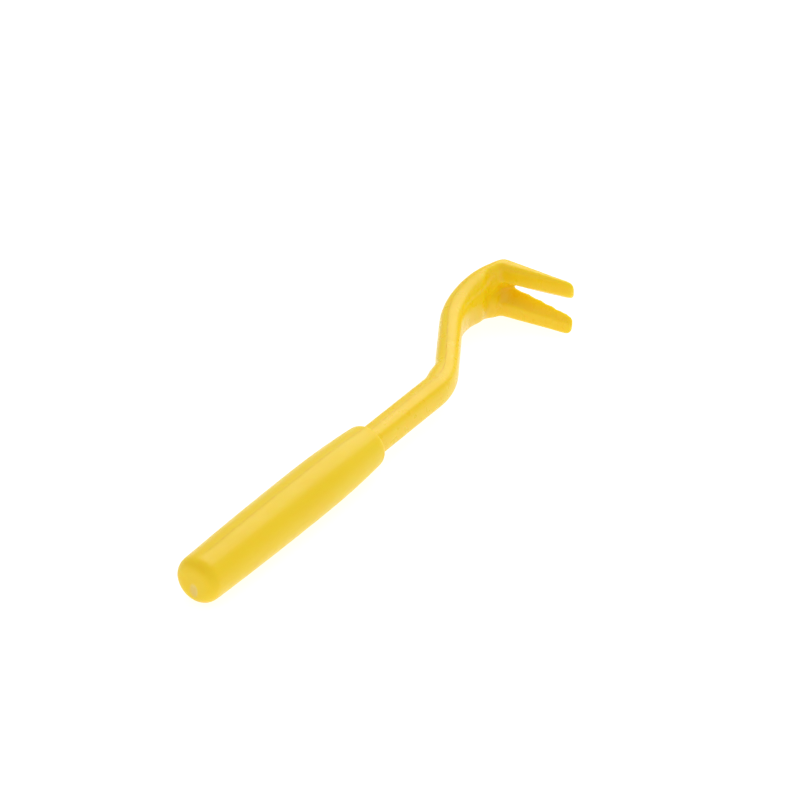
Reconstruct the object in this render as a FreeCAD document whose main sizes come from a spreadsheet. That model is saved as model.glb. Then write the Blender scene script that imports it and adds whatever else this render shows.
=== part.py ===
"""Forked hook with a barrel handle: a rigid hand tool made of two plastic pieces.

Millimetres. The origin is the centre of the butt face. +X runs along the handle towards the fork,
the hook bends in the XY plane, and +Z is normal to that plane.
"""
import FreeCAD, Part
import math
import os

import Sketcher
from FreeCAD import Placement, Rotation, Vector

SHEET = "Dimensions"
UP = Vector(0, 0, 1)
TOWARDS_HANDLE = Vector(-1, 0, 0)

# Driving dimensions, in millimetres and degrees: each becomes an aliased cell of the spreadsheet.
DIMENSIONS = {
    # barrel handle
    "barrel_length": 23.6,
    "barrel_radius": 2.2,
    "barrel_widest_at": 15.6,
    "butt_radius": 1.97,
    "butt_rounding": 0.92,
    "shoulder_radius": 1.88,
    "shoulder_rounding": 0.32,
    "gate_mark_length": 1.1,
    "gate_mark_width": 0.6,
    "gate_mark_depth": 0.12,
    "gate_mark_drop": 0.66,
    # tang inside the barrel, and the shank that continues it
    "tang_length": 14.0,
    "tang_width": 1.9,
    "tang_height": 2.1,
    "tang_corner": 0.5,
    "shank_length": 9.8,
    "shank_width": 2.3,
    "shank_height": 2.5,
    "shank_squareness": 3.0,
    # gooseneck: bend, neck, arch and crown
    "bend_radius": 7.2,
    "bend_angle": 30.0,
    "bend_web": 0.2,
    "neck_length": 6.4,
    "neck_width": 2.06,
    "arch_radius": 9.85,
    "arch_angle": 34.0,
    "arch_width": 2.3,
    "crown_slope": 28.0,
    "crown_underside_slope": 18.0,
    "crown_outer_run": 2.13,
    "crown_inner_run": 1.19,
    "flare_ends_at": 51.0,
    "flare_power": 2.2,
    # knee
    "knee_x": 52.5,
    "knee_y": 4.85,
    "knee_height": 5.56,
    "knee_squareness": 3.2,
    "knee_rounding": 0.6,
    "root_thickness": 1.75,
    "crease_drop": 0.65,
    "crease_rounding": 0.3,
    # fork
    "fork_reach": 7.48,
    "fork_height": 5.42,
    "fork_squareness": 3.9,
    "tip_height": 5.2,
    "tip_thickness": 0.55,
    "toe_angle": 3.3,
    "tip_outer_rounding": 0.6,
    "tip_inner_rounding": 0.5,
    # groove on the handle side of the fork, which breaks through as the V slot
    "groove_start_x": 48.6,
    "groove_start_y": 4.7,
    "groove_start_width": 1.6,
    "crease_groove_depth": 0.8,
    "crease_groove_width": 2.1,
    "crease_groove_angle": 20.0,
    "slot_apex_y": 3.7,
    "slot_apex_overshoot": 0.08,
    "groove_end_cover": 0.12,
    "slot_apex_groove_width": 2.2,
    "slot_mouth": 1.68,
    "groove_mouth": 2.62,
}

GROOVE_CLEARANCE = 0.8  # how far the groove's cutter stands out of the surface it cuts
MOUTH_FLARE = ((1.0, 0.0), (0.4, 0.12), (0.1, 0.5), (-0.1, 1.0))  # distance from the tips, widening
SECTION_POINTS = 20  # steps round the upper half of a section of the hook


# ---------------------------------------------------------------- document helpers


def make_sheet(doc):
    """The spreadsheet, with one aliased cell for each driving dimension."""
    sheet = doc.addObject("Spreadsheet::Sheet", SHEET)
    for row, (alias, value) in enumerate(DIMENSIONS.items(), start=1):
        sheet.set(f"A{row}", alias)
        sheet.set(f"B{row}", str(value))
        sheet.setAlias(f"B{row}", alias)
    doc.recompute()
    return sheet


class Sizes:
    """Reads the sheet's cells as attributes, so that the code says size.neck_length."""

    def __init__(self, sheet):
        self.sheet = sheet

    def __getattr__(self, alias):
        return float(self.sheet.get(alias))


def cell(alias):
    """The expression that names one cell of the sheet."""
    return f"{SHEET}.{alias}"


def add_sketch(body, name, role, offset=None):
    """A sketch on one of the body's own origin planes, moved by an optional placement."""
    sketch = body.newObject("Sketcher::SketchObject", name)
    plane = next(f for f in body.Origin.OriginFeatures if f.Role == role)
    sketch.AttachmentSupport = [(plane, "")]
    sketch.MapMode = "FlatFace"
    if offset is not None:
        sketch.AttachmentOffset = offset
    return sketch


def constrain(sketch, kind, *arguments):
    return sketch.addConstraint(Sketcher.Constraint(kind, *arguments))


def drive(sketch, name, expression, kind, *arguments):
    """Adds a dimension to a sketch, names it and drives it with an expression on the sheet."""
    index = constrain(sketch, kind, *arguments)
    sketch.renameConstraint(index, name)
    sketch.setExpression(f"Constraints.{name}", expression)


def closed_outline(sketch, points):
    """Joins points with straight lines, the last one back to the first."""
    first = sketch.GeometryCount
    for start, end in zip(points, points[1:] + points[:1]):
        sketch.addGeometry(Part.LineSegment(Vector(*start, 0), Vector(*end, 0)))
    for index in range(len(points)):
        following = (index + 1) % len(points)
        constrain(sketch, "Coincident", first + index, 2, first + following, 1)
    return first


def add_arc(sketch, centre, radius, start_degrees, end_degrees):
    """An anticlockwise arc; returns its geometry index."""
    circle = Part.Circle(Vector(*centre, 0), UP, radius)
    arc = Part.ArcOfCircle(circle, math.radians(start_degrees), math.radians(end_degrees))
    return sketch.addGeometry(arc)


def upright_placement(centre, across):
    """A plane that holds Z and the horizontal direction `across`: local X is across, local Y is Z."""
    return Placement(centre, Rotation(across, UP, across.cross(UP), "XYZ"))


def tang_outline(body, name, size):
    """The tang's section at the shoulder: a rounded rectangle centred on the handle's axis."""
    shoulder = Vector(size.barrel_length, 0, 0)
    sketch = add_sketch(body, name, "XY_Plane", upright_placement(shoulder, left_of(0)))
    half_width = size.tang_width / 2
    half_height = size.tang_height / 2
    corner = size.tang_corner
    flat_x = half_width - corner
    flat_y = half_height - corner
    sides = [
        ((-flat_x, -half_height), (flat_x, -half_height)),
        ((half_width, -flat_y), (half_width, flat_y)),
        ((flat_x, half_height), (-flat_x, half_height)),
        ((-half_width, flat_y), (-half_width, -flat_y)),
    ]
    for start, end in sides:
        sketch.addGeometry(Part.LineSegment(Vector(*start, 0), Vector(*end, 0)))
    corners = [(flat_x, -flat_y), (flat_x, flat_y), (-flat_x, flat_y), (-flat_x, -flat_y)]
    for index, centre in enumerate(corners):
        add_arc(sketch, centre, corner, 90 * index - 90, 90 * index)
    for index in range(4):
        constrain(sketch, "Tangent", index, 2, 4 + index, 1)
        constrain(sketch, "Tangent", 4 + index, 2, (index + 1) % 4, 1)
        constrain(sketch, "Vertical" if index % 2 else "Horizontal", index)
    for index in (5, 6, 7):
        constrain(sketch, "Equal", 4, index)
    constrain(sketch, "Symmetric", 0, 1, 2, 1, -1, 1)
    drive(sketch, "Width", cell("tang_width"), "DistanceX", 3, 1, 1, 1, 2 * half_width)
    drive(sketch, "Height", cell("tang_height"), "DistanceY", 0, 1, 2, 1, 2 * half_height)
    drive(sketch, "Corner", cell("tang_corner"), "Radius", 4, corner)
    return sketch


# ---------------------------------------------------------------- plan geometry of the hook


def direction(degrees):
    return Vector(math.cos(math.radians(degrees)), math.sin(math.radians(degrees)), 0)


def left_of(heading):
    """The horizontal unit vector to the left of a heading: the outer side of the hook."""
    return direction(heading + 90)


def turn(point, heading, radius, angle):
    """Follows an arc from a point; a positive angle turns left. Returns the new point and heading."""
    side = math.copysign(1, angle)
    centre = point + left_of(heading) * (side * radius)
    return centre - left_of(heading + angle) * (side * radius), heading + angle


def corner_arc(corner, back, ahead, radius, count):
    """Points along the arc that rounds a corner between two straight runs, both directed away from it."""
    half_opening = back.getAngle(ahead) / 2
    inward = (back + ahead).normalize()
    centre = corner + inward * (radius / math.sin(half_opening))
    first = corner + back * (radius / math.tan(half_opening)) - centre
    last = corner + ahead * (radius / math.tan(half_opening)) - centre
    sweep = first.getAngle(last)
    clockwise = math.copysign(1, first.cross(last).z)
    points = []
    for index in range(count):
        angle = clockwise * sweep * index / (count - 1)
        points.append(centre + Rotation(UP, math.degrees(angle)).multVec(first))
    return points


class KneePlan:
    """Corner points and edge directions of the knee and the fork, seen from above."""

    def __init__(self, size):
        self.outer_corner = Vector(size.knee_x, size.knee_y, 0)
        self.inner_corner = self.outer_corner - Vector(size.root_thickness, size.crease_drop, 0)
        self.outer_back = direction(180 - size.crown_slope)
        self.inner_back = direction(180 - size.crown_underside_slope)
        self.outer_ahead = direction(-90 - size.toe_angle)
        self.toe_normal = direction(-size.toe_angle)
        self.outer_tip = self.outer_corner + self.outer_ahead * size.fork_reach
        self.inner_tip = self.outer_tip - self.toe_normal * size.tip_thickness
        self.inner_ahead = (self.inner_tip - self.inner_corner).normalize()

    def roundings(self, size, count):
        """Points along the outer and the inner rounding of the knee."""
        outer = corner_arc(self.outer_corner, self.outer_back, self.outer_ahead, size.knee_rounding, count)
        inner = corner_arc(self.inner_corner, self.inner_back, self.inner_ahead, size.crease_rounding, count)
        return outer, inner

    def outer_x(self, y):
        """X of the fork's outer face at a given Y."""
        return self.outer_corner.x + self.outer_ahead.x / self.outer_ahead.y * (y - self.outer_corner.y)

    def inner_x(self, y):
        """X of the fork's inner face at a given Y."""
        return self.inner_corner.x + self.inner_ahead.x / self.inner_ahead.y * (y - self.inner_corner.y)


# ---------------------------------------------------------------- skin of the hook


class Section:
    """One section of the hook: outer and inner points in plan, full height, and squareness.

    A squareness of 2 is an ellipse; larger values approach a rectangle with rounded corners.
    """

    def __init__(self, outer, inner, height, squareness):
        self.outer = outer
        self.inner = inner
        self.height = height
        self.squareness = squareness

    def upper_half(self):
        """Points from the outer side over the top to the inner side; both ends have Z = 0."""
        centre = (self.outer + self.inner) * 0.5
        half_width = (self.outer - self.inner) * 0.5
        points = []
        for index in range(SECTION_POINTS + 1):
            angle = math.pi * index / SECTION_POINTS
            across = math.cos(angle)
            rise = 0.0 if index in (0, SECTION_POINTS) else math.sin(angle)
            power = self.squareness
            scale = (abs(across) ** power + rise**power) ** (-1 / power)
            points.append(centre + half_width * (across * scale) + UP * (self.height / 2 * rise * scale))
        return points


def shares(steps):
    """Evenly spaced numbers after 0, up to 1."""
    return [index / steps for index in range(1, steps + 1)]


def between(first, last, share):
    """The value a given share of the way from one number or point to another."""
    return first + (last - first) * share


def eased(start, start_way, end, end_way, share):
    """A point on the smooth curve that leaves `start` along start_way and reaches `end` along end_way."""
    reach = (end - start).Length
    rest = 1 - share
    leaving = start * (1 + 2 * share) + start_way * (reach * share)
    arriving = end * (3 - 2 * share) - end_way * (reach * rest)
    return leaving * rest**2 + arriving * share**2


def flared_height(size, x):
    """Height of the gooseneck at X: it flares from the shank's height to the knee's."""
    shank_end = size.barrel_length + size.shank_length
    share = (x - shank_end) / (size.flare_ends_at - shank_end)
    share = min(max(share, 0), 1)
    return between(size.shank_height, size.knee_height, share**size.flare_power)


def path_section(size, point, heading, width, web=0.0):
    """A gooseneck section square to the path; `web` is extra width on its left."""
    half_width = width / 2
    outer = point + left_of(heading) * (half_width + web)
    inner = point - left_of(heading) * half_width
    return Section(outer, inner, flared_height(size, point.x), size.shank_squareness)


def shank_sections(size):
    """The straight shank, from the shoulder to the start of the bend."""
    sections = []
    for share in [0] + shares(7):
        point = Vector(size.barrel_length + size.shank_length * share, 0, 0)
        sections.append(path_section(size, point, 0, size.shank_width))
    return sections


def gooseneck_sections(size):
    """Bend, neck and arch; also returns the heading at the end of the arch."""
    sections = []
    bend_start = Vector(size.barrel_length + size.shank_length, 0, 0)
    for share in shares(8):
        point, heading = turn(bend_start, 0, size.bend_radius, size.bend_angle * share)
        width = between(size.shank_width, size.neck_width, share)
        web = size.bend_web * math.sin(math.pi * share) ** 2
        sections.append(path_section(size, point, heading, width, web))
    bend_end = point
    neck_heading = heading
    for share in shares(5):
        point = bend_end + direction(neck_heading) * (size.neck_length * share)
        sections.append(path_section(size, point, neck_heading, size.neck_width))
    neck_end = point
    for share in shares(6):
        point, heading = turn(neck_end, neck_heading, size.arch_radius, -size.arch_angle * share)
        sections.append(path_section(size, point, heading, between(size.neck_width, size.arch_width, share)))
    return sections, heading


def crown_sections(size, plan, arch_end, heading):
    """From the end of the arch to the start of the knee's roundings."""
    arch_way = direction(heading)
    crown_outer = plan.outer_corner + plan.outer_back * size.crown_outer_run
    crown_inner = plan.inner_corner + plan.inner_back * size.crown_inner_run
    sections = []
    for share in shares(3):
        outer = eased(arch_end.outer, arch_way, crown_outer, -plan.outer_back, share)
        inner = eased(arch_end.inner, arch_way, crown_inner, -plan.inner_back, share)
        height = flared_height(size, (outer.x + inner.x) / 2)
        squareness = between(size.shank_squareness, size.knee_squareness, share)
        sections.append(Section(outer, inner, height, squareness))
    knee_outer, knee_inner = plan.roundings(size, 2)
    for share in shares(5)[:-1]:
        outer = between(crown_outer, knee_outer[0], share)
        inner = between(crown_inner, knee_inner[0], share)
        height = flared_height(size, (outer.x + inner.x) / 2)
        sections.append(Section(outer, inner, height, size.knee_squareness))
    return sections


def knee_sections(size, plan):
    """Ribs that fan round the knee."""
    count = 9
    sections = []
    for index, (outer, inner) in enumerate(zip(*plan.roundings(size, count))):
        share = index / (count - 1)
        height = between(size.knee_height, size.fork_height, share)
        squareness = between(size.knee_squareness, size.fork_squareness, share)
        sections.append(Section(outer, inner, height, squareness))
    return sections


def fork_sections(size, plan, root):
    """From the fork's root to its tip: closer together near the root, and over the tip's rounding."""
    rounding = size.tip_outer_rounding
    steps = []
    for share in shares(8):
        steps.append((share**1.5 * (size.fork_reach - rounding) / size.fork_reach, 0))
    for degrees in (18, 36, 54, 70, 90):
        angle = math.radians(degrees)
        share = 1 - rounding * (1 - math.sin(angle)) / size.fork_reach
        steps.append((share, rounding * (1 - math.cos(angle))))
    sections = []
    for along, drop in steps:
        outer = between(root.outer, plan.outer_tip, along)
        inner = between(root.inner, plan.inner_tip, along)
        height = between(size.fork_height, size.tip_height, along) - 2 * drop
        sections.append(Section(outer, inner, height, size.fork_squareness))
    return sections


def mirrored_below(shape):
    """The shape's mirror image under the plane Z = 0."""
    return shape.mirror(Vector(0, 0, 0), UP)


def make_skin(doc, size, plan):
    """The hook before its groove is cut: one smooth surface through every section, and its image.

    A sketched loft ripples between this many sections, so the surface is interpolated in code from
    the sheet's sizes.
    """
    sections = shank_sections(size)
    gooseneck, heading = gooseneck_sections(size)
    sections += gooseneck
    sections += crown_sections(size, plan, sections[-1], heading)
    sections += knee_sections(size, plan)
    sections += fork_sections(size, plan, sections[-1])
    surface = Part.BSplineSurface()
    surface.interpolate([section.upper_half() for section in sections])
    upper = surface.toShape()
    faces = [upper, mirrored_below(upper)]
    first, last = surface.bounds()[:2]
    for position in (first, last):
        edge = surface.uIso(position).toShape()
        faces.append(Part.Face(Part.Wire([edge, mirrored_below(edge)])))
    sewn = Part.Compound(faces)
    sewn.sewShape()
    solid = Part.Solid(sewn.Shells[0])
    if solid.Volume < 0:
        solid.reverse()
    skin = doc.addObject("Part::Feature", "HookSkin")
    skin.Shape = solid
    skin.Placement = Placement()
    return skin


# ---------------------------------------------------------------- forked hook


def triangle_section(body, name, apex, opening, depth, half_width):
    """A V cutter's section: apex in the material, open side `depth` away along `opening`."""
    sketch = add_sketch(body, name, "XY_Plane", upright_placement(apex, opening))
    closed_outline(sketch, [(0, 0), (depth, -half_width), (depth, half_width)])
    return sketch


def apex_section(body, size, plan, name, overshoot):
    """The V at the slot's apex, which reaches `overshoot` past the fork's outer face."""
    y = size.slot_apex_y
    thickness = plan.outer_x(y) - plan.inner_x(y)
    depth = overshoot + thickness + GROOVE_CLEARANCE
    slope = size.slot_apex_groove_width / 2 / (overshoot + thickness)
    apex = Vector(plan.outer_x(y) + overshoot, y, 0)
    return triangle_section(body, name, apex, TOWARDS_HANDLE, depth, depth * slope)


def slot_sections(body, size, plan):
    """The V slot, from its apex to its mouth, where it flares round the inner corners of the tips."""
    sections = [apex_section(body, size, plan, "SlotApex", size.slot_apex_overshoot)]
    rounding = size.tip_inner_rounding
    for number, (back, flare) in enumerate(MOUTH_FLARE, start=1):
        y = plan.outer_tip.y + back * rounding
        share = (y - size.slot_apex_y) / (plan.outer_tip.y - size.slot_apex_y)
        thickness = plan.outer_x(y) - plan.inner_x(y)
        outer_half = size.slot_mouth / 2 * share + flare * rounding
        inner_half = between(size.slot_apex_groove_width, size.groove_mouth, share) / 2 + flare * rounding
        slope = (inner_half - outer_half) / thickness
        beyond = outer_half / slope
        apex = Vector(plan.outer_x(y) + beyond, y, 0)
        depth = beyond + thickness + GROOVE_CLEARANCE
        name = f"SlotMouth{number}"
        sections.append(triangle_section(body, name, apex, TOWARDS_HANDLE, depth, depth * slope))
    return sections


def groove_sections(body, size, plan):
    """The groove that carries the slot's V on through the crease, until it runs out under the crown."""
    start = Vector(size.groove_start_x, size.groove_start_y, 0)
    into_crease = direction(size.crease_groove_angle)
    crease_apex = plan.inner_corner + into_crease * size.crease_groove_depth
    depth = size.crease_groove_depth + GROOVE_CLEARANCE
    slope = size.crease_groove_width / 2 / size.crease_groove_depth
    start_half_width = size.groove_start_width / 2
    return [
        triangle_section(body, "GrooveStart", start, Vector(0, -1, 0), GROOVE_CLEARANCE, start_half_width),
        triangle_section(body, "GrooveCrease", crease_apex, -into_crease, depth, depth * slope),
        apex_section(body, size, plan, "GrooveEnd", -size.groove_end_cover),
    ]


def subtract_loft(body, name, sections):
    """Cuts a ruled loft out of the body; raises an error if it cuts nothing."""
    before = body.Shape.Volume
    feature = body.newObject("PartDesign::SubtractiveLoft", name)
    feature.Profile = sections[0]
    feature.Sections = sections[1:]
    feature.Ruled = True
    feature.Refine = False
    body.Tip = feature
    body.Document.recompute()
    require(body.Shape.Volume < before, f"{name} cut nothing")


def make_forked_hook(doc, size):
    """Tang, shank, gooseneck, knee and two-pronged fork, in one piece."""
    plan = KneePlan(size)
    body = doc.addObject("PartDesign::Body", "forked_hook")
    body.BaseFeature = make_skin(doc, size, plan)
    doc.recompute()
    subtract_loft(body, "Slot", slot_sections(body, size, plan))
    subtract_loft(body, "Groove", groove_sections(body, size, plan))
    tang = body.newObject("PartDesign::Pad", "Tang")
    tang.Profile = tang_outline(body, "TangOutline", size)
    tang.Reversed = True
    tang.Refine = False
    tang.setExpression("Length", cell("tang_length"))
    body.Tip = tang
    doc.recompute()
    return body


# ---------------------------------------------------------------- barrel handle


def bulge(radius_alias, length_expression):
    """Expression for the radius of the arc that falls from the widest point to an end of the barrel."""
    drop = f"({cell('barrel_radius')} - {cell(radius_alias)})"
    return f"({length_expression} ^ 2 + {drop} ^ 2) / (2 * {drop})"


def bulge_radius(length, drop):
    return (length**2 + drop**2) / (2 * drop)


def barrel_profile(body, size):
    """Half profile of the barrel: flat butt, two long arcs that meet at the widest point, flat shoulder."""
    sketch = add_sketch(body, "BarrelProfile", "XY_Plane")
    length = size.barrel_length
    widest = size.barrel_widest_at
    top = size.barrel_radius
    butt = size.butt_rounding
    shoulder = size.shoulder_rounding
    rear = bulge_radius(widest, top - size.butt_radius)
    front = bulge_radius(length - widest, top - size.shoulder_radius)
    rear_centre_y = top - rear
    front_centre_y = top - front
    butt_centre = Vector(butt, rear_centre_y + math.sqrt((rear - butt) ** 2 - (widest - butt) ** 2), 0)
    front_reach = length - shoulder - widest
    shoulder_centre_y = front_centre_y + math.sqrt((front - shoulder) ** 2 - front_reach**2)
    shoulder_centre = Vector(length - shoulder, shoulder_centre_y, 0)
    rear_lean = math.degrees(math.asin((widest - butt) / (rear - butt)))
    front_lean = math.degrees(math.asin(front_reach / (front - shoulder)))
    sketch.addGeometry(Part.LineSegment(Vector(0, 0, 0), Vector(length, 0, 0)))
    sketch.addGeometry(Part.LineSegment(Vector(length, 0, 0), Vector(length, shoulder_centre.y, 0)))
    add_arc(sketch, (shoulder_centre.x, shoulder_centre.y), shoulder, 0, 90 - front_lean)
    add_arc(sketch, (widest, front_centre_y), front, 90 - front_lean, 90)
    add_arc(sketch, (widest, rear_centre_y), rear, 90, 90 + rear_lean)
    add_arc(sketch, (butt_centre.x, butt_centre.y), butt, 90 + rear_lean, 180)
    sketch.addGeometry(Part.LineSegment(Vector(0, butt_centre.y, 0), Vector(0, 0, 0)))
    constrain(sketch, "Coincident", 0, 1, -1, 1)
    constrain(sketch, "Horizontal", 0)
    constrain(sketch, "Vertical", 1)
    constrain(sketch, "Vertical", 6)
    constrain(sketch, "Coincident", 0, 2, 1, 1)
    constrain(sketch, "Coincident", 6, 2, 0, 1)
    for index in range(1, 6):
        constrain(sketch, "Tangent", index, 2, index + 1, 1)
    constrain(sketch, "Vertical", 3, 2, 3, 3)
    drive(sketch, "Length", cell("barrel_length"), "DistanceX", 0, 1, 0, 2, length)
    drive(sketch, "WidestAt", cell("barrel_widest_at"), "DistanceX", -1, 1, 3, 2, widest)
    drive(sketch, "WidestRadius", cell("barrel_radius"), "DistanceY", -1, 1, 3, 2, top)
    drive(sketch, "ShoulderRounding", cell("shoulder_rounding"), "Radius", 2, shoulder)
    drive(sketch, "ButtRounding", cell("butt_rounding"), "Radius", 5, butt)
    front_length = f"({cell('barrel_length')} - {cell('barrel_widest_at')})"
    drive(sketch, "FrontBulge", bulge("shoulder_radius", front_length), "Radius", 3, front)
    drive(sketch, "RearBulge", bulge("butt_radius", cell("barrel_widest_at")), "Radius", 4, rear)
    return sketch


def gate_mark_outline(body, size):
    """A small upright oblong on the butt face, just below its centre."""
    upright = upright_placement(Vector(0, 0, -size.gate_mark_drop), Vector(0, 1, 0))
    sketch = add_sketch(body, "GateMarkOutline", "XY_Plane", upright)
    radius = size.gate_mark_width / 2
    straight = size.gate_mark_length / 2 - radius
    sketch.addGeometry(Part.LineSegment(Vector(radius, -straight, 0), Vector(radius, straight, 0)))
    add_arc(sketch, (0, straight), radius, 0, 180)
    sketch.addGeometry(Part.LineSegment(Vector(-radius, straight, 0), Vector(-radius, -straight, 0)))
    add_arc(sketch, (0, -straight), radius, 180, 360)
    for index in range(4):
        constrain(sketch, "Tangent", index, 2, (index + 1) % 4, 1)
    constrain(sketch, "Vertical", 0)
    constrain(sketch, "Symmetric", 1, 3, 3, 3, -1, 1)
    drive(sketch, "Width", cell("gate_mark_width"), "DistanceX", 2, 1, 0, 2, 2 * radius)
    oblong = f"{cell('gate_mark_length')} - {cell('gate_mark_width')}"
    drive(sketch, "Straight", oblong, "DistanceY", 3, 3, 1, 3, 2 * straight)
    return sketch


def make_barrel_handle(doc, size):
    """The barrel, with a blind socket for the tang and the gate mark in its butt."""
    body = doc.addObject("PartDesign::Body", "barrel_handle")
    profile = barrel_profile(body, size)
    barrel = body.newObject("PartDesign::Revolution", "Barrel")
    barrel.Profile = profile
    barrel.ReferenceAxis = (profile, ["H_Axis"])
    barrel.Angle = 360
    doc.recompute()
    solid = body.Shape.Volume
    socket = body.newObject("PartDesign::Pocket", "Socket")
    socket.Profile = tang_outline(body, "SocketMouth", size)
    socket.setExpression("Length", cell("tang_length"))
    doc.recompute()
    socketed = body.Shape.Volume
    gate_mark = body.newObject("PartDesign::Pocket", "GateMark")
    gate_mark.Profile = gate_mark_outline(body, size)
    gate_mark.Reversed = True
    gate_mark.setExpression("Length", cell("gate_mark_depth"))
    body.Tip = gate_mark
    doc.recompute()
    require(socketed < solid, "the socket cut nothing")
    require(body.Shape.Volume < socketed, "the gate mark cut nothing")
    return body


# ---------------------------------------------------------------- build and export


def require(condition, message):
    if not condition:
        raise RuntimeError(message)


def check_document(doc, bodies):
    """Stops the build if any object failed or any body has no valid single solid."""
    for item in doc.Objects:
        require("Invalid" not in item.State and "Error" not in item.State, f"{item.Name} failed")
    for body in bodies:
        shape = body.Shape
        require(not shape.isNull() and shape.isValid(), f"{body.Label} has no valid shape")
        require(len(shape.Solids) == 1, f"{body.Label} is not one solid")


def main():
    doc = FreeCAD.newDocument("ForkedHook")
    size = Sizes(make_sheet(doc))
    bodies = [make_barrel_handle(doc, size), make_forked_hook(doc, size)]
    for body in bodies:
        body.Placement = Placement()
    doc.recompute()
    check_document(doc, bodies)
    os.makedirs("parts", exist_ok=True)
    for body in bodies:
        body.Shape.exportStep(f"parts/{body.Label}.step")
        bounds = body.Shape.BoundBox
        print(f"{body.Label}: {body.Shape.Volume:.2f} mm3, {bounds}")


main()
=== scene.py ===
"""Looks of the forked hook with a barrel handle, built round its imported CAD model.

Everything is in metres in the part's own frame: +X runs along the handle towards the fork, the hook
bends in the XY plane and +Z is normal to it. Sizes in the property groups are in metres too.
"""
import math

import bpy
from mathutils import Matrix, Vector


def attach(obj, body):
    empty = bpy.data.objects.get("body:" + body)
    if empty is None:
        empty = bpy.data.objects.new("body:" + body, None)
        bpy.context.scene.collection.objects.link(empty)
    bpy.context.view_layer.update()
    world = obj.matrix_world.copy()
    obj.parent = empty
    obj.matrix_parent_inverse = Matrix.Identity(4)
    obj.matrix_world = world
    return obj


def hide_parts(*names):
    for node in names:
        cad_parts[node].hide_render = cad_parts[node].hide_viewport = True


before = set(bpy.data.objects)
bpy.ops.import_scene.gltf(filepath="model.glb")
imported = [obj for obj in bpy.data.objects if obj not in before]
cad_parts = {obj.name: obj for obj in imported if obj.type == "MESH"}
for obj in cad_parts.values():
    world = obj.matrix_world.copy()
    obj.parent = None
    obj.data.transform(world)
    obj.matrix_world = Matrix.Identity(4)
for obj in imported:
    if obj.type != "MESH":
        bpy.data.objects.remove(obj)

bl_info = {
    "name": "Forked hook",
    "version": (1, 0, 0),
    "blender": (4, 5, 0),
    "location": "3D View > Sidebar > Forked hook",
    "description": "Builds the visual pieces of a moulded forked hook and its studio stage",
    "category": "Object",
}

MM = 0.001
UP = Vector((0, 0, 1))
REFRACTIVE_INDEX = 1.49

# The ridges' plan curves start this far over or under the axis, clear of the plastic.
CURVE_HEIGHT = 10 * MM
RAY_LENGTH = 50 * MM
RIDGE_SIDES = 10

# Along the handle, in metres: the parting ridge of the barrel and the two ends that wear first.
BARREL_RIDGE = (1.6 * MM, 23.1 * MM)
WORN_BUTT = (3.0 * MM, 0.0)
WORN_TIPS = (50.0 * MM, 52.5 * MM)

# The hook's centre line in plan, in millimetres and degrees: a straight shank, then runs that are
# either an arc (radius, turn) or straight (length).
SHANK_START = 23.75
SHANK_END = 33.4
GOOSENECK_RUNS = (
    {"radius": 7.2, "turn": 30.0},
    {"length": 6.4},
    {"radius": 9.85, "turn": -34.0},
)
GOOSENECK_STEPS = 12
GOOSENECK_DRIFT = 0.34

# The floor's rise per metre along X and Y: it touches the barrel's belly, the knee and a prong.
FLOOR_SLOPE = (-0.0151, -0.026)
FLOOR_REACH = 0.9


# ---------------------------------------------------------------- properties


class PlasticProperties(bpy.types.PropertyGroup):
    """Colours and finish of the moulded plastic."""

    base: bpy.props.FloatVectorProperty(
        name="Base colour", description="Colour of the plastic where it is thick",
        subtype="COLOR", size=3, default=(0.87, 0.605, 0.001))
    light: bpy.props.FloatVectorProperty(
        name="Light colour", description="Colour of worn ends and of paler flow areas",
        subtype="COLOR", size=3, default=(0.885, 0.645, 0.008))
    # This colour is the real colour of fine specks and painted shade along the parting ridge.
    speck_and_seam_shade: bpy.props.FloatVectorProperty(
        name="Deep colour", description="Colour of the parting ridge and of fine specks",
        subtype="COLOR", size=3, default=(0.8, 0.45, 0.002))
    roughness: bpy.props.FloatProperty(
        name="Roughness", description="Mean roughness of the moulded surface",
        min=0.0, max=1.0, default=0.33)
    scatter: bpy.props.FloatProperty(
        name="Scatter distance", description="How far light travels inside the plastic",
        subtype="DISTANCE", default=1.1 * MM)


class GateProperties(bpy.types.PropertyGroup):
    """The scar in the butt face where the sprue was cut: torn plastic, painted paler with a painted
    highlight.
    """

    # The scar colour is torn plastic with a painted highlight where the scar catches light.
    colour: bpy.props.FloatVectorProperty(
        name="Scar colour", description="Colour of the torn plastic",
        subtype="COLOR", size=3, default=(0.8, 0.6, 0.17))
    height: bpy.props.FloatProperty(
        name="Scar height", description="Height of the scar's centre over the handle's axis",
        subtype="DISTANCE", default=-0.6 * MM)
    half_width: bpy.props.FloatProperty(
        name="Scar half width", description="Half the scar's width",
        subtype="DISTANCE", default=0.38 * MM)
    half_length: bpy.props.FloatProperty(
        name="Scar half length", description="Half the scar's length along Z",
        subtype="DISTANCE", default=0.66 * MM)


class SurfaceProperties(bpy.types.PropertyGroup):
    """How finely the moulded pieces are remeshed."""

    handle_voxel: bpy.props.FloatProperty(
        name="Handle voxel", description="Voxel size of the handle's remesh",
        subtype="DISTANCE", default=0.085 * MM)
    hook_voxel: bpy.props.FloatProperty(
        name="Hook voxel", description="Voxel size of the hook's remesh",
        subtype="DISTANCE", default=0.078 * MM)
    passes: bpy.props.IntProperty(
        name="Smoothing passes", description="Smoothing passes that round the moulded edges",
        min=0, max=80, default=40)


class PartingProperties(bpy.types.PropertyGroup):
    """The fine ridge that the mould's parting leaves."""

    width: bpy.props.FloatProperty(
        name="Ridge width", description="Width of the parting ridge",
        subtype="DISTANCE", default=0.055 * MM)
    sunk: bpy.props.FloatProperty(
        name="Ridge sink", description="How far the ridge's centre lies under the surface",
        subtype="DISTANCE", default=0.015 * MM)
    spacing: bpy.props.FloatProperty(
        name="Spacing", description="Distance between the points that follow the surface",
        subtype="DISTANCE", default=0.25 * MM)


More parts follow.
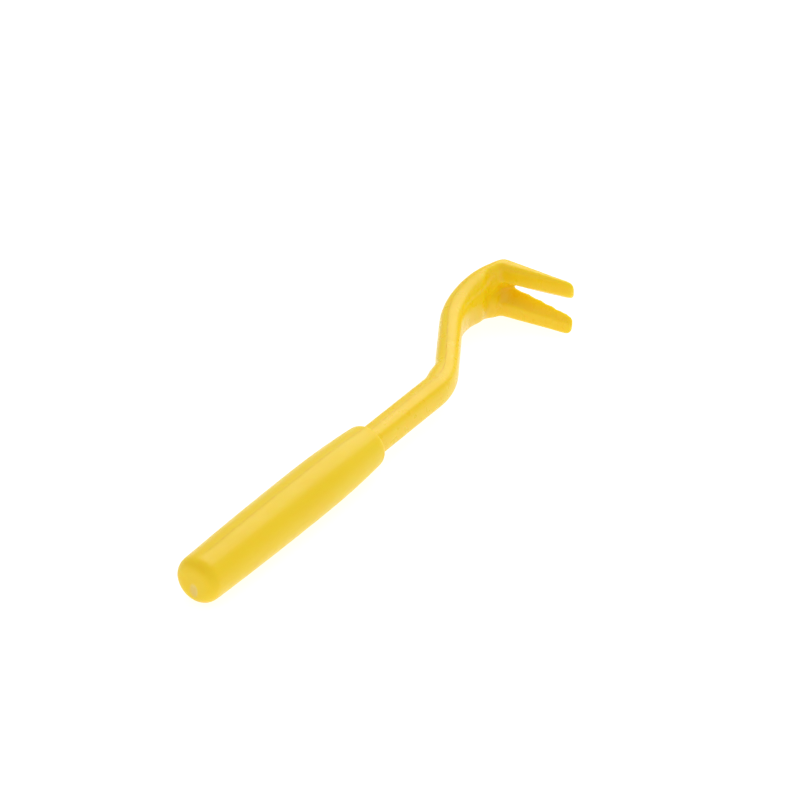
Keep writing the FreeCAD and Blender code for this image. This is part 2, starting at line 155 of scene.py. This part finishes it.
class StageProperties(bpy.types.PropertyGroup):
    """Floor, light and camera."""

    aim: bpy.props.FloatVectorProperty(
        name="Aim", description="Point on the camera's optical axis",
        subtype="TRANSLATION", unit="LENGTH", size=3, default=(24.367 * MM, -2.592 * MM, 4.857 * MM))
    azimuth: bpy.props.FloatProperty(
        name="Azimuth", description="Turn of the tool seen from above, against the camera",
        subtype="ANGLE", default=math.radians(56.95))
    elevation: bpy.props.FloatProperty(
        name="Elevation", description="Camera's height angle above the bend plane",
        subtype="ANGLE", default=math.radians(32.205))
    roll: bpy.props.FloatProperty(
        name="Roll", description="Camera's roll about its optical axis",
        subtype="ANGLE", default=math.radians(0.901))
    distance: bpy.props.FloatProperty(
        name="Distance", description="Camera's distance from the aim point",
        subtype="DISTANCE", default=246.45 * MM)
    lens: bpy.props.FloatProperty(
        name="Lens", description="Focal length in millimetres on a 36 mm sensor", default=138.2)
    floor_colour: bpy.props.FloatVectorProperty(
        name="Floor colour", description="Colour of the studio floor",
        subtype="COLOR", size=3, default=(0.36, 0.36, 0.36))
    floor_glow: bpy.props.FloatProperty(
        name="Floor glow", description="Strength of the light that comes up through the floor", default=0.82)
    sky: bpy.props.FloatProperty(
        name="Sky", description="Strength of the white light from all round", default=0.74)
    key_direction: bpy.props.FloatVectorProperty(
        name="Key direction", description="Way to the key light as right, depth and up, seen from the camera",
        subtype="DIRECTION", size=3, default=(0.32, 0.64, 0.7))
    key_distance: bpy.props.FloatProperty(
        name="Key distance", description="Distance of the key light from the aim point",
        subtype="DISTANCE", default=0.5)
    key_width: bpy.props.FloatProperty(
        name="Key width", description="Width of the key light", subtype="DISTANCE", default=0.46)
    key_height: bpy.props.FloatProperty(
        name="Key height", description="Height of the key light", subtype="DISTANCE", default=0.36)
    key_power: bpy.props.FloatProperty(
        name="Key power", description="Power of the key light", subtype="POWER", default=1.1)


# ---------------------------------------------------------------- node helpers


def add_node(tree, kind, **settings):
    """A node of one kind, with its plain attributes set."""
    node = tree.nodes.new(kind)
    for name, value in settings.items():
        setattr(node, name, value)
    return node


def noise(tree, coordinates, scale, detail, roughness=0.5):
    """A noise texture at a scale given in cycles per metre."""
    node = add_node(tree, "ShaderNodeTexNoise")
    node.inputs["Scale"].default_value = scale
    node.inputs["Detail"].default_value = detail
    node.inputs["Roughness"].default_value = roughness
    tree.links.new(coordinates, node.inputs["Vector"])
    return node.outputs["Fac"]


def ramp(tree, value, from_range, to_range):
    """Maps a value smoothly from one range to another."""
    node = add_node(tree, "ShaderNodeMapRange", interpolation_type="SMOOTHSTEP")
    node.inputs["From Min"].default_value = from_range[0]
    node.inputs["From Max"].default_value = from_range[1]
    node.inputs["To Min"].default_value = to_range[0]
    node.inputs["To Max"].default_value = to_range[1]
    tree.links.new(value, node.inputs["Value"])
    return node.outputs["Result"]


def mix_colour(tree, factor, first, second):
    """Mixes two colours, each a plain colour or a socket."""
    node = add_node(tree, "ShaderNodeMix", data_type="RGBA")
    tree.links.new(factor, node.inputs["Factor"])
    for socket, colour in ((node.inputs[6], first), (node.inputs[7], second)):
        if isinstance(colour, bpy.types.NodeSocket):
            tree.links.new(colour, socket)
        else:
            socket.default_value = (*colour, 1.0)
    return node.outputs[2]


def bump(tree, height, distance, strength, normal=None):
    node = add_node(tree, "ShaderNodeBump")
    node.inputs["Strength"].default_value = strength
    node.inputs["Distance"].default_value = distance
    tree.links.new(height, node.inputs["Height"])
    if normal is not None:
        tree.links.new(normal, node.inputs["Normal"])
    return node.outputs["Normal"]


# ---------------------------------------------------------------- materials


def plastic_material(name, plastic, roughness, scratch_strength, worn):
    """Moulded plastic: flow variation, fine texture, scratches along X, paler wear over a span of X."""
    material = bpy.data.materials.new(name)
    material.use_nodes = True
    tree = material.node_tree
    shader = tree.nodes["Principled BSDF"]
    coordinates = add_node(tree, "ShaderNodeTexCoord").outputs["Object"]
    stretch = add_node(tree, "ShaderNodeMapping")
    stretch.inputs["Scale"].default_value = (0.12, 1.0, 1.0)
    tree.links.new(coordinates, stretch.inputs["Vector"])
    flow = ramp(tree, noise(tree, coordinates, 160, 3), (0.35, 0.7), (0.0, 1.0))
    speckle = ramp(tree, noise(tree, coordinates, 2600, 2), (0.66, 0.84), (0.0, 0.02))
    along = add_node(tree, "ShaderNodeSeparateXYZ")
    tree.links.new(coordinates, along.inputs["Vector"])
    worn_end = ramp(tree, along.outputs["X"], worn, (0.0, 1.0))
    rubbed = add_node(tree, "ShaderNodeMath", operation="MULTIPLY")
    tree.links.new(worn_end, rubbed.inputs[0])
    tree.links.new(ramp(tree, noise(tree, coordinates, 1300, 4), (0.5, 0.75), (0.0, 0.5)), rubbed.inputs[1])
    body = mix_colour(tree, ramp(tree, flow, (0.0, 1.0), (0.0, 0.35)), plastic.base, plastic.light)
    body = mix_colour(tree, speckle, body, plastic.speck_and_seam_shade)
    body = mix_colour(tree, rubbed.outputs["Value"], body, plastic.light)
    tree.links.new(body, shader.inputs["Base Color"])
    scratches = ramp(tree, noise(tree, stretch.outputs["Vector"], 5200, 5, 0.62), (0.6, 0.74), (0.0, 1.0))
    sheen = noise(tree, coordinates, 900, 4)
    rough = add_node(tree, "ShaderNodeMath", operation="ADD")
    tree.links.new(ramp(tree, sheen, (0.3, 0.7), (roughness - 0.05, roughness + 0.06)), rough.inputs[0])
    tree.links.new(ramp(tree, scratches, (0.0, 1.0), (0.0, 0.12 * scratch_strength)), rough.inputs[1])
    tree.links.new(rough.outputs["Value"], shader.inputs["Roughness"])
    texture = bump(tree, noise(tree, coordinates, 7000, 2), 0.001 * MM, 0.1)
    waves = bump(tree, noise(tree, coordinates, 260, 1), 0.02 * MM, 0.2, texture)
    tree.links.new(bump(tree, scratches, 0.0006 * MM, scratch_strength, waves), shader.inputs["Normal"])
    shader.inputs["IOR"].default_value = REFRACTIVE_INDEX
    shader.inputs["Specular IOR Level"].default_value = 0.4
    shader.inputs["Subsurface Weight"].default_value = 0.5
    shader.inputs["Subsurface Radius"].default_value = (1.0, 0.55, 0.12)
    shader.inputs["Subsurface Scale"].default_value = plastic.scatter
    return material


def add_gate_scar(material, gate):
    """A paler patch where the sprue was cut from the butt face: torn plastic with a painted highlight."""
    tree = material.node_tree
    shader = tree.nodes["Principled BSDF"]
    body = shader.inputs["Base Color"].links[0].from_socket
    patch = add_node(tree, "ShaderNodeMapping")
    patch.inputs["Location"].default_value = (0.0, 0.0, -gate.height / gate.half_length)
    patch.inputs["Scale"].default_value = (1 / gate.half_length, 1 / gate.half_width, 1 / gate.half_length)
    tree.links.new(add_node(tree, "ShaderNodeTexCoord").outputs["Object"], patch.inputs["Vector"])
    distance = add_node(tree, "ShaderNodeVectorMath", operation="LENGTH")
    tree.links.new(patch.outputs["Vector"], distance.inputs[0])
    # Painted highlight: the scar is lightened towards its centre, along with the torn plastic's own paler
    # colour.
    torn = ramp(tree, distance.outputs["Value"], (1.25, 0.55), (0.0, 0.75))
    tree.links.new(mix_colour(tree, torn, body, gate.colour), shader.inputs["Base Color"])


def seam_material(name, plastic):
    """The parting ridge: the same plastic, with painted shade along it, broken into patches."""
    material = bpy.data.materials.new(name)
    material.use_nodes = True
    tree = material.node_tree
    shader = tree.nodes["Principled BSDF"]
    coordinates = add_node(tree, "ShaderNodeTexCoord").outputs["Object"]
    painted_shade_gaps = ramp(tree, noise(tree, coordinates, 1400, 4), (0.35, 0.65), (0.0, 1.0))
    # Painted shade darkens the ridge in patches, and the plain body colour shows between them.
    tree.links.new(mix_colour(tree, painted_shade_gaps, plastic.speck_and_seam_shade, plastic.base), shader.inputs["Base Color"])
    finish = (plastic.roughness, plastic.roughness + 0.2)
    rough = ramp(tree, noise(tree, coordinates, 5000, 2), (0.3, 0.7), finish)
    tree.links.new(rough, shader.inputs["Roughness"])
    grain = bump(tree, noise(tree, coordinates, 9000, 2), 0.006 * MM, 0.5)
    tree.links.new(grain, shader.inputs["Normal"])
    shader.inputs["IOR"].default_value = REFRACTIVE_INDEX
    return material


def floor_material(name, stage):
    """Matt paper floor with a faint grain, lit evenly from beneath."""
    material = bpy.data.materials.new(name)
    material.use_nodes = True
    tree = material.node_tree
    shader = tree.nodes["Principled BSDF"]
    coordinates = add_node(tree, "ShaderNodeTexCoord").outputs["Object"]
    grain = noise(tree, coordinates, 3000, 2)
    darker = tuple(channel * 0.985 for channel in stage.floor_colour)
    tree.links.new(mix_colour(tree, grain, stage.floor_colour, darker), shader.inputs["Base Color"])
    rough = ramp(tree, noise(tree, coordinates, 600, 2), (0.3, 0.7), (0.85, 0.95))
    tree.links.new(rough, shader.inputs["Roughness"])
    tree.links.new(bump(tree, grain, 0.01 * MM, 0.1), shader.inputs["Normal"])
    shader.inputs["Specular IOR Level"].default_value = 0.1
    shader.inputs["Emission Color"].default_value = (1.0, 1.0, 1.0, 1.0)
    shader.inputs["Emission Strength"].default_value = stage.floor_glow
    return material


# ---------------------------------------------------------------- moulded pieces


def new_piece(name, mesh):
    piece = bpy.data.objects.new(name, mesh)
    bpy.context.scene.collection.objects.link(piece)
    return piece


def baked(obj):
    """The object's mesh with its modifiers applied; the object keeps no modifier."""
    bpy.context.view_layer.update()
    depsgraph = bpy.context.evaluated_depsgraph_get()
    mesh = bpy.data.meshes.new_from_object(obj.evaluated_get(depsgraph))
    mesh.name = obj.name
    obj.modifiers.clear()
    return mesh


def moulded_copy(node, name, voxel, passes, material):
    """A copy of a CAD node with its edges rounded as moulding leaves them."""
    piece = new_piece(name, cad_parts[node].data.copy())
    weld = piece.modifiers.new("Weld", "WELD")
    weld.merge_threshold = 0.001 * MM
    remesh = piece.modifiers.new("Remesh", "REMESH")
    remesh.mode = "VOXEL"
    remesh.voxel_size = voxel
    remesh.use_smooth_shade = True
    smooth = piece.modifiers.new("Smooth", "SMOOTH")
    smooth.factor = 0.5
    smooth.iterations = passes
    mesh = baked(piece)
    piece.data = mesh
    mesh.shade_smooth()
    mesh.materials.clear()
    mesh.materials.append(material)
    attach(piece, "root")
    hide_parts(node)


# ---------------------------------------------------------------- parting ridge


def parting_group():
    """Geometry nodes: drops a plan curve onto a surface along Z and sweeps a small round along it."""
    group = bpy.data.node_groups.new("Parting ridge", "GeometryNodeTree")
    interface = group.interface
    interface.new_socket("Geometry", in_out="OUTPUT", socket_type="NodeSocketGeometry")
    interface.new_socket("Geometry", in_out="INPUT", socket_type="NodeSocketGeometry")
    interface.new_socket("Surface", in_out="INPUT", socket_type="NodeSocketObject")
    interface.new_socket("Direction", in_out="INPUT", socket_type="NodeSocketVector")
    interface.new_socket("Width", in_out="INPUT", socket_type="NodeSocketFloat")
    interface.new_socket("Sink", in_out="INPUT", socket_type="NodeSocketFloat")
    interface.new_socket("Spacing", in_out="INPUT", socket_type="NodeSocketFloat")
    interface.new_socket("Material", in_out="INPUT", socket_type="NodeSocketMaterial")
    link = group.links.new
    given = add_node(group, "NodeGroupInput")
    result = add_node(group, "NodeGroupOutput")
    resample = add_node(group, "GeometryNodeResampleCurve", mode="LENGTH")
    link(given.outputs["Geometry"], resample.inputs["Curve"])
    link(given.outputs["Spacing"], resample.inputs["Length"])
    surface = add_node(group, "GeometryNodeObjectInfo", transform_space="RELATIVE")
    link(given.outputs["Surface"], surface.inputs["Object"])
    raycast = add_node(group, "GeometryNodeRaycast")
    raycast.inputs["Ray Length"].default_value = RAY_LENGTH
    link(surface.outputs["Geometry"], raycast.inputs["Target Geometry"])
    link(given.outputs["Direction"], raycast.inputs["Ray Direction"])
    sink = add_node(group, "ShaderNodeVectorMath", operation="SCALE")
    link(given.outputs["Direction"], sink.inputs[0])
    link(given.outputs["Sink"], sink.inputs["Scale"])
    settled = add_node(group, "ShaderNodeVectorMath", operation="ADD")
    link(raycast.outputs["Hit Position"], settled.inputs[0])
    link(sink.outputs["Vector"], settled.inputs[1])
    place = add_node(group, "GeometryNodeSetPosition")
    link(resample.outputs["Curve"], place.inputs["Geometry"])
    link(raycast.outputs["Is Hit"], place.inputs["Selection"])
    link(settled.outputs["Vector"], place.inputs["Position"])
    radius = add_node(group, "ShaderNodeMath", operation="MULTIPLY")
    radius.inputs[1].default_value = 0.5
    link(given.outputs["Width"], radius.inputs[0])
    profile = add_node(group, "GeometryNodeCurvePrimitiveCircle")
    profile.inputs["Resolution"].default_value = RIDGE_SIDES
    link(radius.outputs["Value"], profile.inputs["Radius"])
    sweep = add_node(group, "GeometryNodeCurveToMesh")
    sweep.inputs["Fill Caps"].default_value = True
    link(place.outputs["Geometry"], sweep.inputs["Curve"])
    link(profile.outputs["Curve"], sweep.inputs["Profile Curve"])
    real = add_node(group, "GeometryNodeRealizeInstances")
    link(sweep.outputs["Mesh"], real.inputs["Geometry"])
    dressed = add_node(group, "GeometryNodeSetMaterial")
    link(real.outputs["Geometry"], dressed.inputs["Geometry"])
    link(given.outputs["Material"], dressed.inputs["Material"])
    link(dressed.outputs["Geometry"], result.inputs["Geometry"])
    return group


def plan_curve(name, points, height):
    """An open poly curve through plan points, at one height."""
    curve = bpy.data.curves.new(name, "CURVE")
    curve.dimensions = "3D"
    spline = curve.splines.new("POLY")
    spline.points.add(len(points) - 1)
    for point, (x, y) in zip(spline.points, points):
        point.co = (x, y, height, 1.0)
    return curve


def parting_ridge(name, points, surface, side, group, settings, material):
    """One ridge along a plan line, on the top (side 1) or the underside (side -1) of a piece."""
    source = new_piece(name, plan_curve(name, points, side * CURVE_HEIGHT))
    modifier = source.modifiers.new("Parting ridge", "NODES")
    modifier.node_group = group
    values = {
        "Surface": surface,
        "Direction": (0.0, 0.0, -float(side)),
        "Width": settings.width,
        "Sink": settings.sunk,
        "Spacing": settings.spacing,
        "Material": material,
    }
    for socket in group.interface.items_tree:
        if socket.in_out == "INPUT" and socket.name in values:
            modifier[socket.identifier] = values[socket.name]
    mesh = baked(source)
    bpy.data.objects.remove(source)
    piece = new_piece(name, mesh)
    mesh.shade_smooth()
    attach(piece, "root")


def gooseneck_points():
    """Plan points of the hook's centre line, in millimetres, from the shoulder to the end of the arch."""
    points = [Vector((SHANK_START, 0)), Vector((SHANK_END, 0))]
    heading = 0.0
    for run in GOOSENECK_RUNS:
        turn = run.get("turn", 0.0) / GOOSENECK_STEPS
        if "radius" in run:
            stride = 2 * run["radius"] * math.sin(math.radians(abs(turn)) / 2)
        else:
            stride = run["length"] / GOOSENECK_STEPS
        for _ in range(GOOSENECK_STEPS):
            middle = math.radians(heading + turn / 2)
            points.append(points[-1] + Vector((math.cos(middle), math.sin(middle))) * stride)
            heading += turn
    return points


def gooseneck_line(outward):
    """The hook's ridge line in metres, which drifts outward by up to `outward` millimetres."""
    points = gooseneck_points()
    line = []
    for index, point in enumerate(points):
        ahead = points[min(index + 1, len(points) - 1)] - points[max(index - 1, 0)]
        left = Vector((-ahead.y, ahead.x)).normalized()
        share = max(0.0, (index - 2) / (len(points) - 3))
        line.append(tuple((point + left * (outward * share)) * MM))
    return line


# ---------------------------------------------------------------- stage


def view_axes(stage):
    """Horizontal right and depth directions of the camera in the part's frame."""
    right = Vector((math.cos(stage.azimuth), -math.sin(stage.azimuth), 0))
    depth = Vector((math.sin(stage.azimuth), math.cos(stage.azimuth), 0))
    return right, depth


def add_camera(stage):
    right, depth = view_axes(stage)
    forward = depth * math.cos(stage.elevation) - UP * math.sin(stage.elevation)
    upward = depth * math.sin(stage.elevation) + UP * math.cos(stage.elevation)
    across = right * math.cos(stage.roll) + upward * math.sin(stage.roll)
    above = upward * math.cos(stage.roll) - right * math.sin(stage.roll)
    data = bpy.data.cameras.new("Camera")
    data.sensor_width = 36
    data.lens = stage.lens
    data.clip_start = 0.01
    data.clip_end = 5
    camera = bpy.data.objects.new("Camera", data)
    bpy.context.scene.collection.objects.link(camera)
    turn = Matrix((across, above, -forward)).transposed().to_4x4()
    camera.matrix_world = Matrix.Translation(Vector(stage.aim) - forward * stage.distance) @ turn
    bpy.context.scene.camera = camera


def add_key_light(stage):
    """The one soft box, which faces the aim point."""
    right, depth = view_axes(stage)
    toward = stage.key_direction
    direction = (right * toward[0] + depth * toward[1] + UP * toward[2]).normalized()
    data = bpy.data.lights.new("Key", "AREA")
    data.shape = "RECTANGLE"
    data.size = stage.key_width
    data.size_y = stage.key_height
    data.energy = stage.key_power
    light = bpy.data.objects.new("Key", data)
    bpy.context.scene.collection.objects.link(light)
    facing = direction.to_track_quat("Z", "Y").to_matrix().to_4x4()
    light.matrix_world = Matrix.Translation(Vector(stage.aim) + direction * stage.key_distance) @ facing


def add_world(stage):
    world = bpy.data.worlds.new("Studio")
    world.use_nodes = True
    background = world.node_tree.nodes["Background"]
    background.inputs["Color"].default_value = (1.0, 1.0, 1.0, 1.0)
    background.inputs["Strength"].default_value = stage.sky
    bpy.context.scene.world = world


def add_floor(stage, pieces):
    """A plane floor just under the tool, which lies level on it."""
    slope_x, slope_y = FLOOR_SLOPE
    lowest = min(v.co.z - slope_x * v.co.x - slope_y * v.co.y for p in pieces for v in p.data.vertices)
    corners = ((-1, -1), (1, -1), (1, 1), (-1, 1))
    ground = [(x * FLOOR_REACH, y * FLOOR_REACH) for x, y in corners]
    mesh = bpy.data.meshes.new("studio_floor")
    mesh.from_pydata([(x, y, lowest + slope_x * x + slope_y * y) for x, y in ground], [], [(0, 1, 2, 3)])
    mesh.materials.append(floor_material("studio_floor_paper", stage))
    floor = new_piece("studio_floor", mesh)


# ---------------------------------------------------------------- operators


class HOOK_OT_barrel(bpy.types.Operator):
    """Build the barrel handle's moulded surface"""
    bl_idname = "forked_hook.barrel"
    bl_label = "Build barrel handle"

    def execute(self, context):
        plastic = context.scene.hook_plastic
        surface = context.scene.hook_surface
        material = plastic_material("handle_plastic", plastic, plastic.roughness + 0.02, 0.5, WORN_BUTT)
        add_gate_scar(material, context.scene.hook_gate)
        moulded_copy("barrel_handle", "handle_body", surface.handle_voxel, surface.passes, material)
        return {"FINISHED"}


class HOOK_OT_hook(bpy.types.Operator):
    """Build the hook's moulded surface"""
    bl_idname = "forked_hook.hook"
    bl_label = "Build forked hook"

    def execute(self, context):
        plastic = context.scene.hook_plastic
        surface = context.scene.hook_surface
        material = plastic_material("hook_plastic", plastic, plastic.roughness - 0.03, 0.3, WORN_TIPS)
        moulded_copy("forked_hook", "hook_body", surface.hook_voxel, surface.passes, material)
        return {"FINISHED"}


class HOOK_OT_parting(bpy.types.Operator):
    """Build the parting ridges on the handle and the hook"""
    bl_idname = "forked_hook.parting"
    bl_label = "Build parting ridges"

    def execute(self, context):
        settings = context.scene.hook_parting
        material = seam_material("seam_plastic", context.scene.hook_plastic)
        group = parting_group()
        barrel = bpy.data.objects["handle_body"]
        hook = bpy.data.objects["hook_body"]
        handle_line = [(x, 0.0) for x in BARREL_RIDGE]
        hook_line = gooseneck_line(GOOSENECK_DRIFT)
        for side, place in ((1, "top"), (-1, "under")):
            parting_ridge(f"handle_seam_{place}", handle_line, barrel, side, group, settings, material)
            parting_ridge(f"hook_seam_{place}", hook_line, hook, side, group, settings, material)
        return {"FINISHED"}


class HOOK_OT_stage(bpy.types.Operator):
    """Add the floor, the light and the camera"""
    bl_idname = "forked_hook.stage"
    bl_label = "Build stage"

    def execute(self, context):
        stage = context.scene.hook_stage
        add_world(stage)
        pieces = [bpy.data.objects["handle_body"], bpy.data.objects["hook_body"]]
        add_floor(stage, pieces)
        add_key_light(stage)
        add_camera(stage)
        context.scene.view_settings.view_transform = "Standard"
        return {"FINISHED"}


OPERATORS = (HOOK_OT_barrel, HOOK_OT_hook, HOOK_OT_parting, HOOK_OT_stage)


class HOOK_PT_panel(bpy.types.Panel):
    """Lists the hook's operators and sizes"""
    bl_idname = "HOOK_PT_panel"
    bl_label = "Forked hook"
    bl_space_type = "VIEW_3D"
    bl_region_type = "UI"
    bl_category = "Forked hook"

    def draw(self, context):
        for operator in OPERATORS:
            self.layout.operator(operator.bl_idname)
        for name in SCENE_GROUPS:
            group = getattr(context.scene, name)
            box = self.layout.box()
            for field in type(group).__annotations__:
                box.prop(group, field)


SCENE_GROUPS = {
    "hook_plastic": PlasticProperties,
    "hook_gate": GateProperties,
    "hook_surface": SurfaceProperties,
    "hook_parting": PartingProperties,
    "hook_stage": StageProperties,
}
CLASSES = (*SCENE_GROUPS.values(), *OPERATORS, HOOK_PT_panel)


def register():
    for cls in CLASSES:
        bpy.utils.register_class(cls)
    for name, group in SCENE_GROUPS.items():
        setattr(bpy.types.Scene, name, bpy.props.PointerProperty(type=group))


def unregister():
    for name in SCENE_GROUPS:
        delattr(bpy.types.Scene, name)
    for cls in reversed(CLASSES):
        bpy.utils.unregister_class(cls)


def main():
    register()
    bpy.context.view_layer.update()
    bpy.ops.forked_hook.barrel()
    bpy.ops.forked_hook.hook()
    bpy.ops.forked_hook.parting()
    bpy.ops.forked_hook.stage()


if __name__ == "__main__":
    main()
